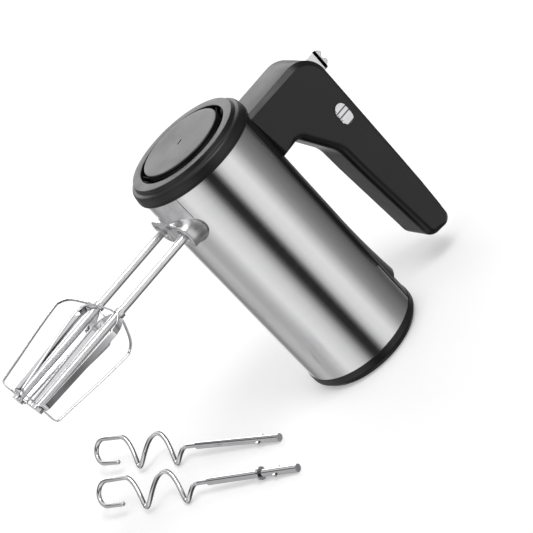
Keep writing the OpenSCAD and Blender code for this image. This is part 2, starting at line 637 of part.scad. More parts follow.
// Closed outline of one loop, in from its true edge by t
function loop_side(t, s) = rounded([[cage_x - t, 0, 0], [cage_x - 1 - t, s * (cage_r * 0.3 - t), 8],
    [cage_x - 10 - t, s * (cage_r + 1.2 - t), 9], [cage_x - 24, s * (cage_r + 0.3 - t), 12],
    [cage_end + 0.5 + t, s * (cage_end_r - t), 2.6 - t], [cage_end + t, 0, 0]]);
module loop() difference() {
    rotate([90, 0, 0]) linear_extrude(strip_w, center = true) union() {
        polygon(loop_side(0, 1));
        polygon(loop_side(0, -1));
    }
    rotate([90, 0, 0]) linear_extrude(strip_w + 2, center = true) union() {
        polygon(loop_side(blade_t, 1));
        polygon(loop_side(blade_t, -1));
    }
}
module cage(turn) rotate([turn, 0, 0]) difference() {
    union() {
        loop();
        rotate([90, 0, 0]) loop();
        // discs that join the strips round the shaft
        rod_x(shaft_r + 1.2, cage_x - blade_t, cage_x);
        rod_x(shaft_r + 1.2, cage_end, cage_end + blade_t);
    }
    rod_x(shaft_r, cage_end - 5, cage_x + 5);
}
module beater_shaft_left() color("gainsboro") at_spindle(1) beater_shaft();
module beater_shaft_right() color("gainsboro") at_spindle(-1) beater_shaft();
module beater_cage_left() color("gainsboro") at_spindle(1) cage(cage_turn_left);
module beater_cage_right() color("gainsboro") at_spindle(-1) cage(cage_turn_right);
module cage_collar() tube_x(shaft_r + 1.2, shaft_r, cage_x, cage_x + 3);
module beater_collar_left() color("gainsboro") at_spindle(1) cage_collar();
module beater_collar_right() color("gainsboro") at_spindle(-1) cage_collar();
module cage_rivet() {
    rod_x(shaft_r + 1.6, cage_end - 2.4, cage_end - 1.2);
    tube_x(shaft_r + 1.6, shaft_r, cage_end - 1.2, cage_end);
}
module beater_rivet_left() color("gainsboro") at_spindle(1) cage_rivet();
module beater_rivet_right() color("gainsboro") at_spindle(-1) cage_rivet();

// ---------- eject train ----------
module eject_yoke() color("#46484c") difference() {
    union() {
        for (s = [-1, 1]) at_spindle(s) rod_x(spindle_r + 0.6, yoke_x, yoke_x + yoke_t);
        translate([yoke_x, -half_gap, spindle_z - 4]) cube([yoke_t, spindle_gap, eject_z - spindle_z + 8]);
    }
    translate([0, 0, eject_z]) rod_x(eject_rod_r - 1, yoke_x - 1, yoke_x + yoke_t + 1);
}
module eject_rod() color("#9a9ca0") translate([0, 0, eject_z]) {
    rod_x(eject_rod_r - 1, yoke_x, yoke_x + yoke_t);
    rod_x(eject_rod_r, yoke_x + yoke_t, button_low + 3);
    rod_x(eject_rod_r + 4, strip_r + 14.5, strip_r + 16);
}
module eject_spring() color("silver") translate([strip_r + 0.3, 0, eject_z]) rotate([0, 90, 0])
    coil(eject_rod_r + 2, 0.6, 3.1, 14);
module eject_button() color("gainsboro") difference() {
    intersection() {
        translate([button_low, -eject_y / 2, eject_z - eject_w / 2])
            cube([eject_top - button_low, eject_y, eject_w]);
        along_y(eject_y + 2) polygon(concat(
            [[button_low, eject_z - eject_w / 2], [eject_top - 3, eject_z - eject_w / 2]],
            [for (i = [0 : 24]) let (t = i / 24)
                [eject_top - 1.1 + 1.1 * cos(360 * 2 * (t - 0.25)) - 3 * pow(abs(2 * t - 1), 6),
                 eject_z - eject_w / 2 + eject_w * t]],
            [[button_low, eject_z + eject_w / 2]]));
    }
    translate([0, 0, eject_z]) rod_x(eject_rod_r, button_low - 1, button_low + 3);
}

// ---------- speed slider and switch ----------
module speed_slider() color("gainsboro") difference() {
    union() {
        side_block(slider_l, slider_w, -side_y - 1.6, -side_y + 1, slider_z);
        side_block(8, 4, -side_y + 0.9, -side_y + 7, slider_z);
    }
    // grip grooves across the button
    for (i = [-1 : 1]) translate([slider_x, -side_y - 2.2, slider_z + 2 + 4 * i]) rotate([0, 90, 0])
        cylinder(r = 1.2, h = slider_w + 4, center = true);
}
module speed_switch() color("#303236") difference() {
    translate([slider_x - 5, -side_y + 5, slider_z - slider_travel / 2 - 11]) cube([10, 9, 22]);
    side_block(11 + slider_travel, 5, -side_y + 4, -side_y + 8, slider_z - slider_travel / 2);
}
module circuit_board() color("#1f6b3a") translate([grip_x + shell_t + 4.5, -side_y + 14, neck_low - 60])
    cube([grip_t - 2 * shell_t - 9, 1.6, 70]);

// ---------- dough hooks, lying on the table beside the mixer ----------
hook_tube_l = 0.42 * hook_l;
wave_x0 = 0.48 * hook_l;
wave_l = 0.365 * hook_l;
wave_turns = 1.75;
wave_flat = 3;
bend_r = 0.8 * hook_wave;
// A hook rests on its drive end and its first wave, rolled about its own axis
hook_roll = 40;
wave_low = norm([hook_wave * sin(hook_roll), wave_flat * cos(hook_roll)]) + hook_wire_r;
hook_pitch = asin((wave_low - shaft_r) / (wave_x0 + wave_l / wave_turns / 4));

// Puts a hook's own axis, drive end at x = 0, on the table
module on_table(side) translate(side > 0 ? [hook_left_x, hook_left_y, 0] : [hook_right_x, hook_right_y, 0])
    rotate([0, 0, side > 0 ? hook_left_dir : hook_right_dir]) translate([-hook_l / 2, 0, shaft_r + 0.05])
    rotate([0, -hook_pitch, 0]) rotate([-hook_roll, 0, 0]) children();

// Centre line of the wire: out of the tube, flattened spiral waves, then a long closed hook
function hook_path() = concat(
    [[hook_tube_l - 6, 0, 0], [hook_tube_l, 0, 0], [wave_x0 - 3, 0, 0]],
    [for (i = [0 : 40]) let (t = i / 40, ramp = min(1, t * 4 * wave_turns), a = 360 * wave_turns * t)
        [wave_x0 + wave_l * t, hook_wave * sin(ramp * 90) * sin(a), wave_flat * sin(ramp * 90) * cos(a)]],
    [for (i = [0 : 12]) let (a = 180 * i / 12)
        [hook_l - bend_r - hook_wire_r + bend_r * sin(a), -hook_wave + bend_r * (1 - cos(a)), 0]],
    [[hook_l - bend_r - hook_wire_r - 17, 2 * bend_r - hook_wave, 0]]);

// Tube of round section swept along a list of points
module sweep(path, r, sides = 8) {
    n = len(path);
    dir = [for (i = [0 : n - 1]) unit(path[min(i + 1, n - 1)] - path[max(i - 1, 0)])];
    points = [for (i = [0 : n - 1]) let (s = unit(cross(dir[i], [0.1, 0.2, 1])), u = cross(s, dir[i]))
        each [for (k = [0 : sides - 1]) path[i] + r * (cos(360 * k / sides) * s + sin(360 * k / sides) * u)]];
    faces = concat([[for (k = [0 : sides - 1]) k]],
        [for (i = [0 : n - 2], k = [0 : sides - 1]) let (a = i * sides, b = (k + 1) % sides)
            each [[a + k, a + sides + k, a + sides + b], [a + k, a + sides + b, a + b]]],
        [[for (k = [sides - 1 : -1 : 0]) (n - 1) * sides + k]]);
    polyhedron(points, faces);
}
module hook_tube() {
    difference() {
        rod_x(shaft_r, 0, hook_tube_l);
        rod_x(hook_wire_r + 0.1, hook_tube_l - 8, hook_tube_l + 1);
    }
    ears(20, hook_roll);
}
module hook_tube_left() color("#a9abae") on_table(1) hook_tube();
module hook_tube_right() color("#a9abae") on_table(-1) hook_tube();
module hook_wire_left() color("#a9abae") on_table(1) sweep(hook_path(), hook_wire_r);
module hook_wire_right() color("#a9abae") on_table(-1) sweep(hook_path(), hook_wire_r);
// Only one hook has a washer, so that it fits only its own socket
module hook_washer() color("#8f9194") on_table(-1) tube_x(shaft_r + 1.9, shaft_r, 34, 36);

drum_sleeve();
front_cap_ring();
front_vent_disc();
rear_cap();
top_strip();
socket_collar();
handle_body();
handle_cover();
cord_grommet();
gearbox_housing();
gearbox_cover();
spindle_bushes();
motor_front_bracket();
motor_rear_bracket();
shaft_bushes();
stator_core();
field_coils();
brush_holders();
carbon_brushes();
brush_springs();
circuit_board();
speed_switch();
rear_cap_screws();
gearbox_screws();
bracket_screws();
motor_shaft();
armature_core();
armature_windings();
commutator();
cooling_fan();
spindle_left();
spindle_right();
worm_wheel_left();
worm_wheel_right();
ejector_pin_left();
ejector_pin_right();
beater_shaft_left();
beater_shaft_right();
beater_cage_left();
beater_cage_right();
beater_collar_left();
beater_collar_right();
beater_rivet_left();
beater_rivet_right();
eject_button();
eject_rod();
eject_yoke();
eject_spring();
speed_slider();
hook_tube_left();
hook_tube_right();
hook_wire_left();
hook_wire_right();
hook_washer();
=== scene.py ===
"""Looks of the hand mixer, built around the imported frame: camera, studio, materials and fine pieces."""
import json
import math

import bmesh
import bpy
from mathutils import Matrix, Vector
from mathutils.geometry import tessellate_polygon

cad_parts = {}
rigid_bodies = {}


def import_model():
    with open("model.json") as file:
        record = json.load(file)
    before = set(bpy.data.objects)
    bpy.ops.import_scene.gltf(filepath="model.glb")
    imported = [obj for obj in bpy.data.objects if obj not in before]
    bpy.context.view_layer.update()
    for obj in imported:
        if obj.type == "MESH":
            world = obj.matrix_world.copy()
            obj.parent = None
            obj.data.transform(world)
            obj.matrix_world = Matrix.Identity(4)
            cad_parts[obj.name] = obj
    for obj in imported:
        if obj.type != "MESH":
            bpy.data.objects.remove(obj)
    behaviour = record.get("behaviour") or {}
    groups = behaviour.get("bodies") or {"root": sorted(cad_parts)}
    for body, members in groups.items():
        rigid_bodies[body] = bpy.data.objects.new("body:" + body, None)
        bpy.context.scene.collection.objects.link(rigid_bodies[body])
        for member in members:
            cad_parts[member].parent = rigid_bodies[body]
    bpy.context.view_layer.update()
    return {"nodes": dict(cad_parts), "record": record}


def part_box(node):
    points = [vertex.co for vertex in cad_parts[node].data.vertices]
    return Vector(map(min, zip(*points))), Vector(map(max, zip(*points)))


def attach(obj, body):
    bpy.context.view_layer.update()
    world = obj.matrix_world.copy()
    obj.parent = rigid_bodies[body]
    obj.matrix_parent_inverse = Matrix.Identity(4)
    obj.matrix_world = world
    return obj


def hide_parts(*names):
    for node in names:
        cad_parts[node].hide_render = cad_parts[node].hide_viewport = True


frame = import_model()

MM = 0.001
scene = bpy.context.scene
nodes = frame["nodes"]


# ---------- frame measures, in millimetres ----------
def extent(node):
    low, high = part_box(node)
    return Vector(low) / MM, Vector(high) / MM


SLEEVE_LOW, SLEEVE_HIGH = extent("drum_sleeve")
RING_LOW, RING_HIGH = extent("front_cap_ring")
DISC_LOW, DISC_HIGH = extent("front_vent_disc")
HANDLE_LOW, HANDLE_HIGH = extent("handle_body")
SLIDER_LOW, SLIDER_HIGH = extent("speed_slider")
BUTTON_LOW, BUTTON_HIGH = extent("eject_button")
SPINDLE_LOW, SPINDLE_HIGH = extent("spindle_left")
CAGE_LOW, CAGE_HIGH = extent("beater_cage_left")
R = SLEEVE_HIGH.y
SEAM_REAR = SLEEVE_LOW.z
SEAM_FRONT = SLEEVE_HIGH.z
RING_TOP = RING_HIGH.z
DRUM_TOP = DISC_HIGH.z
HALF_GAP = (SPINDLE_LOW.y + SPINDLE_HIGH.y) / 2
SPINDLE_Z = (SPINDLE_LOW.z + SPINDLE_HIGH.z) / 2
NECK_TOP = HANDLE_HIGH.z
SPINE_X = HANDLE_HIGH.x
TIP_Z = HANDLE_LOW.z
SIDE_Y = HANDLE_HIGH.y

# The strip's half width in degrees, how much narrower it is near the heel, and the height where that changes
STRIP_HALF = 42.5
STRIP_STEP = 3.5
STRIP_STEP_Z = SEAM_REAR + 36
# The collar tongue's half width in degrees
TONGUE_HALF = 37.3
# Radius of the handle's front top corner
SPINE_CORNER_R = 20.6


# ---------- camera ----------
def place_camera():
    """The photograph's camera, solved from the drum's seams."""
    azimuth, elevation, roll = (math.radians(a) for a in (-15.18, 24.54, -43.55))
    distance = 1.2616
    target = Vector((-0.0159, 0.0, 0.0985))
    back = Vector((math.sin(azimuth) * math.cos(elevation), -math.cos(azimuth) * math.cos(elevation),
                   math.sin(elevation)))
    right = Vector((0, 0, 1)).cross(back).normalized()
    up = back.cross(right)
    tilted_right = right * math.cos(roll) + up * math.sin(roll)
    tilted_up = up * math.cos(roll) - right * math.sin(roll)
    data = bpy.data.cameras.new("camera")
    data.sensor_width = 36.0
    data.lens = 122.27
    data.clip_end = 20.0
    camera = bpy.data.objects.new("camera", data)
    scene.collection.objects.link(camera)
    turn = Matrix((tilted_right, tilted_up, back)).transposed().to_4x4()
    camera.matrix_world = Matrix.Translation(target + back * distance) @ turn
    scene.camera = camera


# ---------- material helpers ----------
def new_material(name):
    material = bpy.data.materials.new(name)
    material.use_nodes = True
    tree = material.node_tree
    return material, tree, tree.nodes["Principled BSDF"]


def add(tree, kind, **values):
    node = tree.nodes.new(kind)
    for key, value in values.items():
        if key in node.inputs:
            node.inputs[key].default_value = value
        else:
            setattr(node, key, value)
    return node


def object_point(tree, scale=(1, 1, 1)):
    point = tree.nodes.new("ShaderNodeTexCoord")
    mapping = tree.nodes.new("ShaderNodeMapping")
    mapping.inputs["Scale"].default_value = scale
    tree.links.new(point.outputs["Object"], mapping.inputs["Vector"])
    return mapping.outputs["Vector"]


def noise(tree, vector, scale, detail=3.0, roughness=0.5):
    node = add(tree, "ShaderNodeTexNoise", Scale=scale, Detail=detail, Roughness=roughness)
    tree.links.new(vector, node.inputs["Vector"])
    return node.outputs["Fac"]


def spread(tree, value, low, high, out_low, out_high):
    node = tree.nodes.new("ShaderNodeMapRange")
    node.inputs["From Min"].default_value = low
    node.inputs["From Max"].default_value = high
    node.inputs["To Min"].default_value = out_low
    node.inputs["To Max"].default_value = out_high
    tree.links.new(value, node.inputs["Value"])
    return node.outputs["Result"]


def mix(tree, share, first, second, blend="MIX"):
    """Mixes two colours; share, first and second are plain values or sockets."""
    node = add(tree, "ShaderNodeMix", data_type="RGBA", blend_type=blend)
    # inputs 6 and 7 are the mix node's colour pair, and output 2 is its colour
    for at, value in ((0, share), (6, first), (7, second)):
        if isinstance(value, bpy.types.NodeSocket):
            tree.links.new(value, node.inputs[at])
        else:
            node.inputs[at].default_value = value
    return node.outputs[2]


def tint(tree, value, dark, light):
    return mix(tree, value, (*dark, 1), (*light, 1))


def bump(tree, shader, value, strength, distance):
    node = add(tree, "ShaderNodeBump", Strength=strength, Distance=distance)
    tree.links.new(value, node.inputs["Height"])
    tree.links.new(node.outputs["Normal"], shader.inputs["Normal"])


# ---------- materials ----------
def brushed_steel():
    """Steel brushed round the drum: its lines vary quickly along Z, and its gloss spreads along Z."""
    material, tree, shader = new_material("brushed_steel")
    shader.inputs["Metallic"].default_value = 1.0
    shader.inputs["Anisotropic"].default_value = 0.92
    shader.inputs["Anisotropic Rotation"].default_value = 0.25
    fine = noise(tree, object_point(tree, (6, 6, 2400)), 1.0, 4.0, 0.7)
    broad = noise(tree, object_point(tree, (4, 4, 260)), 1.0, 2.0, 0.5)
    tree.links.new(tint(tree, fine, (0.69, 0.69, 0.695), (0.77, 0.77, 0.78)), shader.inputs["Base Color"])
    tree.links.new(spread(tree, broad, 0.3, 0.7, 0.17, 0.21), shader.inputs["Roughness"])
    bump(tree, shader, fine, 0.05, 0.00001)
    tangent = tree.nodes.new("ShaderNodeTangent")
    tangent.direction_type = "RADIAL"
    tangent.axis = "Z"
    tree.links.new(tangent.outputs["Tangent"], shader.inputs["Tangent"])
    return material


def moulded(name, dark, light, rough, level=0.5, grain=2600, depth=0.00006):
    """Moulded plastic with a fine spark-eroded grain."""
    material, tree, shader = new_material(name)
    shader.inputs["Specular IOR Level"].default_value = level
    point = object_point(tree)
    spots = noise(tree, point, grain, 2.0, 0.6)
    patches = noise(tree, point, 45, 3.0, 0.55)
    tree.links.new(tint(tree, patches, dark, light), shader.inputs["Base Color"])
    tree.links.new(spread(tree, patches, 0.3, 0.7, rough - 0.04, rough + 0.05), shader.inputs["Roughness"])
    bump(tree, shader, spots, 0.25, depth)
    return material


def metal(name, dark, light, rough, grain=900, depth=0.00002):
    """Plain or plated metal with faint wear in its gloss."""
    material, tree, shader = new_material(name)
    shader.inputs["Metallic"].default_value = 1.0
    point = object_point(tree)
    wear = noise(tree, point, 120, 4.0, 0.6)
    fine = noise(tree, point, grain, 2.0, 0.5)
    tree.links.new(tint(tree, wear, dark, light), shader.inputs["Base Color"])
    tree.links.new(spread(tree, wear, 0.3, 0.75, rough * 0.7, rough * 1.4), shader.inputs["Roughness"])
    bump(tree, shader, fine, 0.04, depth)
    return material


MATERIALS = {
    "brushed_steel": brushed_steel(),
    "black_plastic": moulded("black_plastic", (0.0045, 0.0045, 0.005), (0.008, 0.008, 0.0085), 0.36, 0.42),
    "rubber": moulded("rubber", (0.01, 0.01, 0.01), (0.018, 0.018, 0.018), 0.7),
    "chrome": metal("chrome", (0.62, 0.62, 0.635), (0.74, 0.74, 0.755), 0.09),
    "housing_plastic": moulded("housing_plastic", (0.55, 0.53, 0.46), (0.66, 0.64, 0.57), 0.5),
    "bronze": metal("bronze", (0.50, 0.34, 0.16), (0.62, 0.44, 0.22), 0.35),
    "aluminium": metal("aluminium", (0.52, 0.53, 0.55), (0.66, 0.67, 0.69), 0.42),
    "steel": metal("steel", (0.42, 0.43, 0.45), (0.58, 0.59, 0.61), 0.3),
    "copper": metal("copper", (0.55, 0.25, 0.10), (0.72, 0.36, 0.17), 0.32),
    "carbon": moulded("carbon", (0.02, 0.02, 0.02), (0.04, 0.04, 0.04), 0.6),
    "board": moulded("board", (0.02, 0.16, 0.07), (0.03, 0.22, 0.10), 0.35),
}
SATIN = metal("satin_chrome", (0.70, 0.70, 0.71), (0.80, 0.80, 0.81), 0.3)


def finish_cad_nodes():
    """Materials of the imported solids; the beater shafts are a little duller than the rest of the chrome."""
    for part in frame["record"]["subparts"]:
        obj = nodes[part["node"]]
        obj.data.materials.clear()
        satin = part["node"].startswith("beater_shaft")
        obj.data.materials.append(SATIN if satin else MATERIALS[part["material_slot"]])


# ---------- mesh helpers ----------
ROUND_STEPS = 144


def mesh_object(name, points, faces):
    """A mesh from points in metres."""
    data = bpy.data.meshes.new(name)
    data.from_pydata([tuple(p) for p in points], [], faces)
    data.validate()
    obj = bpy.data.objects.new(name, data)
    scene.collection.objects.link(obj)
    return obj


def piece(name, points, faces, body, slot, *replaced, angle=32):
    """A finished piece of the mixer from points in millimetres."""
    obj = mesh_object(name, [Vector(p) * MM for p in points], faces)
    obj.data.shade_smooth()
    obj.data.set_sharp_from_angle(angle=math.radians(angle))
    obj.data.materials.append(MATERIALS[slot])
    if replaced:
        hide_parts(*replaced)
    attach(obj, body)
    return obj


def apply_modifiers(obj, angle=32):
    """Turns the object's modifiers into its mesh and sets its edges again."""
    depsgraph = bpy.context.evaluated_depsgraph_get()
    obj.data = bpy.data.meshes.new_from_object(obj.evaluated_get(depsgraph))
    obj.modifiers.clear()
    obj.data.shade_smooth()
    obj.data.set_sharp_from_angle(angle=math.radians(angle))


def cut(obj, points, faces):
    """Takes a closed shape, from points in millimetres, away from a closed piece."""
    cutter = mesh_object("cutter", [Vector(p) * MM for p in points], faces)
    cutter.parent = obj.parent
    change = obj.modifiers.new("cut", "BOOLEAN")
    change.object = cutter
    change.operation = "DIFFERENCE"
    change.solver = "EXACT"
    bpy.context.view_layer.update()
    apply_modifiers(obj)
    bpy.data.objects.remove(cutter, do_unlink=True)


def polar(radius, degrees):
    angle = math.radians(degrees)
    return Vector((radius * math.cos(angle), radius * math.sin(angle)))


def arc_corner(before, at, after, radius, steps=6):
    """Points of one rounded corner of an outline."""
    u = (before - at).normalized()
    v = (after - at).normalized()
    half = math.acos(max(-1, min(1, u.dot(v)))) / 2
    if radius <= 0 or half < 1e-4:
        return [at]
    centre = at + (u + v).normalized() * radius / math.sin(half)
    start = at + u * radius / math.tan(half) - centre
    way = -1 if u.x * v.y - u.y * v.x > 0 else 1
    turn = [way * (math.pi - 2 * half) * i / steps for i in range(steps + 1)]
    return [centre + Vector((start.x * math.cos(t) - start.y * math.sin(t),
                             start.x * math.sin(t) + start.y * math.cos(t))) for t in turn]


def rounded(corners, steps=6):
    """A closed outline from (x, y, radius) corners; each point comes with the number of its corner."""
    points = [Vector(c[:2]) for c in corners]
    result = []
    for i, corner in enumerate(corners):
        made = arc_corner(points[i - 1], points[i], points[(i + 1) % len(points)], corner[2], steps)
        result += [(p, i) for p in made]
    return result


def loft(rings, closed_ends=True):
    """Points and faces that join rings of equal length; the first and last ring are capped."""
    count = len(rings[0])
    points = [p for ring in rings for p in ring]
    faces = []
    for i in range(len(rings) - 1):
        for k in range(count):
            n = (k + 1) % count
            faces.append((i * count + k, i * count + n, (i + 1) * count + n, (i + 1) * count + k))
    if closed_ends:
        faces.append(tuple(range(count))[::-1])
        faces.append(tuple((len(rings) - 1) * count + k for k in range(count)))
    return points, faces


def add_shape(points, faces, more, more_faces):
    """Puts another shape's points and faces after those already there."""
    faces += [tuple(len(points) + k for k in face) for face in more_faces]
    points += more


def lathe(profile, steps=ROUND_STEPS):
    """A closed ring of section turned round an axis; profile points are (radius, height), radius above 0."""
    rings = [[(*polar(r, 360 * i / steps), h) for r, h in profile] for i in range(steps)]
    count = len(profile)
    points = [p for ring in rings for p in ring]
    faces = []
    for i in range(steps):
        m = (i + 1) % steps
        for k in range(count):
            n = (k + 1) % count
            faces.append((i * count + k, m * count + k, m * count + n, i * count + n))
    return points, faces


def outline_of(corners, steps=6):
    """The same outline as plain points."""
    return [tuple(p) for p, _ in rounded(corners, steps)]


def wall(thetas, levels, keep, outer, inner):
    """A bent sheet: the kept cells of a grid of angles and heights, with an outer, an inner and cut sides."""
    used, points, faces = {}, [], []
    full_turn = thetas[-1] - thetas[0] > 359
    columns = len(thetas) - 1

    def corner(i, j, side):
        key = (i, j, side)
        if key not in used:
            used[key] = len(points)
            radius = (outer if side else inner)(thetas[i], levels[j])
            points.append((*polar(radius, thetas[i]), levels[j]))
        return used[key]

    kept = {(i, j) for i in range(columns) for j in range(len(levels) - 1)
            if keep((thetas[i] + thetas[i + 1]) / 2, (levels[j] + levels[j + 1]) / 2)}

    for i, j in sorted(kept):
        a, b = i, 0 if full_turn and i + 1 == columns else i + 1
        faces.append((corner(a, j, 1), corner(b, j, 1), corner(b, j + 1, 1), corner(a, j + 1, 1)))
        faces.append((corner(a, j, 0), corner(a, j + 1, 0), corner(b, j + 1, 0), corner(b, j, 0)))
        left = ((i - 1) % columns if full_turn else i - 1, j)
        right = ((i + 1) % columns if full_turn else i + 1, j)
        if left not in kept:
            faces.append((corner(a, j, 0), corner(a, j, 1), corner(a, j + 1, 1), corner(a, j + 1, 0)))
        if right not in kept:
            faces.append((corner(b, j, 1), corner(b, j, 0), corner(b, j + 1, 0), corner(b, j + 1, 1)))
        if (i, j - 1) not in kept:
            faces.append((corner(a, j, 0), corner(b, j, 0), corner(b, j, 1), corner(a, j, 1)))
        if (i, j + 1) not in kept:
            faces.append((corner(a, j + 1, 1), corner(b, j + 1, 1), corner(b, j + 1, 0), corner(a, j + 1, 0)))
    return points, faces


def steps_between(stops, step):
    """Every stop, with even steps no longer than step between them."""
    result = [stops[0]]
    for a, b in zip(stops, stops[1:]):
        count = max(1, math.ceil((b - a) / step - 1e-6))
        result += [a + (b - a) * i / count for i in range(1, count + 1)]
    return result


def smoothstep(x):
    """A smooth step from 0 to 1."""
    x = max(0.0, min(1.0, x))
    return x * x * (3 - 2 * x)


# ---------- drum ----------
def sleeve():
    """The steel sheet round the drum, open for the strip and for the collar's tongue."""
    wall_t = 0.8
    angles = steps_between([-STRIP_HALF, -STRIP_HALF + STRIP_STEP, STRIP_HALF - STRIP_STEP, STRIP_HALF,
                            180 - TONGUE_HALF, 180 + TONGUE_HALF, 360 - STRIP_HALF], 2.0)
    levels = steps_between([SEAM_REAR, STRIP_STEP_Z, SPINDLE_Z, SEAM_FRONT], 6)

    def keep(theta, z):
        half = STRIP_HALF if z > STRIP_STEP_Z else STRIP_HALF - STRIP_STEP
        in_strip = abs(theta) < half
        in_tongue = abs(theta - 180) < TONGUE_HALF and z > SPINDLE_Z
        return not in_strip and not in_tongue

    points, faces = wall(angles, levels, keep, lambda a, z: R, lambda a, z: R - wall_t)
    piece("sleeve_sheet", points, faces, "housing", "brushed_steel", "drum_sleeve")


# The thumb ridge: its lower end, its length, how far it stands out, and the radius of its crown
RIDGE_LOW = SEAM_REAR + 16.0
RIDGE_LONG = 58.0
RIDGE_UP = 3.6
RIDGE_R = 32.5


def strip():
    """The moulded strip under the handle, with a crowned thumb ridge that rises towards the heel."""
    base = R - 0.1
    ridge_end = RIDGE_LOW + RIDGE_LONG
    inner_edge = STRIP_HALF - 6.3
    centre = base + RIDGE_UP - RIDGE_R
    channel = 0.5

    def outer(theta, z):
        edge = STRIP_HALF - (0 if z > STRIP_STEP_Z + 0.1 else STRIP_STEP)
        # a shallow channel along both edges, then the strip proper
        into = smoothstep((edge - abs(theta)) / 0.9) - smoothstep((inner_edge + 1.2 - abs(theta)) / 1.6)
        radius = base - channel * max(0.0, into)
        if z >= ridge_end or z < RIDGE_LOW - 0.1:
            return radius
        t = math.radians(theta)
        inside = RIDGE_R ** 2 - (centre * math.sin(t)) ** 2
        crown = centre * math.cos(t) + math.sqrt(max(0.0, inside)) - base
        share = max(0.0, crown / RIDGE_UP)
        return radius + RIDGE_UP * ((ridge_end - z) / RIDGE_LONG) ** 1.7 * share

    half = STRIP_HALF - 0.15
    narrow = half - STRIP_STEP
    angles = steps_between([-half, -narrow, -inner_edge - 1.2, -30, 30, inner_edge + 1.2, narrow, half], 0.9)
    levels = steps_between([SEAM_REAR + 0.1, RIDGE_LOW - 0.3, RIDGE_LOW, STRIP_STEP_Z, STRIP_STEP_Z + 0.2,
                            ridge_end, SEAM_FRONT - 0.1], 4)
    points, faces = wall(angles, levels, lambda a, z: abs(a) < (half if z > STRIP_STEP_Z else narrow),
                         outer, lambda a, z: R - 2.3)
    piece("moulded_strip", points, faces, "housing", "black_plastic", "top_strip")


def front_cap():
    """The cap ring, and the floor and ribs of the vent groove between it and the disc."""
    ring_r = RING_HIGH.x
    vent_r = DISC_HIGH.x + 4.4
    floor_r = DISC_HIGH.x - 8
    spigot_r = R - 1.2
    groove_z = SEAM_FRONT + 1.5
    profile = outline_of([
        (vent_r, RING_TOP, 0.7), (vent_r, SEAM_FRONT + 0.5, 0), (spigot_r, SEAM_FRONT + 0.5, 0),
        (spigot_r, SEAM_FRONT + 0.02, 0), (ring_r - 0.1, SEAM_FRONT + 0.02, 0.35),
        (ring_r, groove_z, 0.1), (ring_r - 0.45, groove_z + 0.25, 0.1), (ring_r - 0.05, groove_z + 0.5, 0.1),
        (ring_r - 1.0, RING_TOP - 4.1, 2.6), (ring_r - 4.2, RING_TOP - 2.9, 0.9), (ring_r - 5.2, RING_TOP, 0.6)], 5)
    points, faces = lathe(profile[::-1])
    piece("cap_ring", points, faces, "housing", "black_plastic", "front_cap_ring", angle=40)
    floor = outline_of([(vent_r + 0.5, SEAM_FRONT + 1.5, 0), (floor_r, SEAM_FRONT + 1.5, 0),
                        (floor_r, SEAM_FRONT + 0.5, 0), (vent_r + 0.5, SEAM_FRONT + 0.5, 0)])
    points, faces = lathe(floor[::-1], 72)
    piece("vent_floor", points, faces, "housing", "black_plastic")
    rib_count, rib_turn, rib_half = 28, 4, 1.0
    rib_top, rib_in = RING_TOP - 1.4, DISC_HIGH.x + 0.9
    shape = rounded([(rib_in, rib_top - 5.5, 0.4), (vent_r + 0.3, rib_top - 1.0, 0.1),
                     (vent_r + 0.3, SEAM_FRONT + 1, 0), (rib_in, SEAM_FRONT + 1, 0)], 4)
    points, faces = [], []
    for i in range(rib_count):
        out = polar(1, 360 * i / rib_count + rib_turn)
        side = Vector((-out.y, out.x)) * rib_half
        add_shape(points, faces,
                  *loft([[(*(out * p.x + side * s), p.y) for p, _ in shape] for s in (1.0, 0.75, -0.75, -1.0)]))
    piece("vent_ribs", points, faces, "housing", "black_plastic")


def vent_disc():
    """The raised disc in the cap ring, with a fine groove round its side and a small slot in its middle."""
    radius = DISC_HIGH.x
    foot = RING_TOP - 8.5
    edge_r = 0.9
    groove_z = DRUM_TOP - 2.4
    side = [(radius - 6, foot), (radius - 0.35, foot), (radius, foot + 0.4),
            (radius, groove_z - 0.2), (radius - 0.12, groove_z), (radius, groove_z + 0.2)]
    side += [(radius - edge_r + edge_r * math.cos(t), DRUM_TOP - edge_r + edge_r * math.sin(t))
             for t in (math.pi / 2 * k / 6 for k in range(7))]
    side += [(radius * k, DRUM_TOP) for k in (0.9, 0.7, 0.45, 0.2, 0.02)]
    rings = [[(*polar(r, 360 * i / ROUND_STEPS), h) for i in range(ROUND_STEPS)] for r, h in side]
    points, faces = loft(rings)
    disc = piece("vent_cap_disc", points, faces, "housing", "black_plastic", "front_vent_disc", angle=40)
    long, wide = 2.4, 0.75
    corners = rounded([(-long, -wide, 0.7), (long, -wide, 0.7), (long, wide, 0.7), (-long, wide, 0.7)], 4)
    turn = Matrix.Rotation(math.radians(8), 2)
    slot = [[(*(turn @ p), z) for p, _ in corners] for z in (DRUM_TOP - 1.2, DRUM_TOP + 1)]
    cut(disc, *loft(slot))


# ---------- collar ----------
BOSS_R = 10.2
BORE_R = 5.3
# How far the saddle's front sinks midway between the sockets, and how much lower it is there
SADDLE_SINK = 1.1
SADDLE_WAIST = 0.1
ARC_STEPS = 24
LINE_STEPS = 16


def saddle_share(y):
    """1 midway between the two sockets, 0 at their axes."""
    return max(0.0, 1 - (y / HALF_GAP) ** 2) ** 2


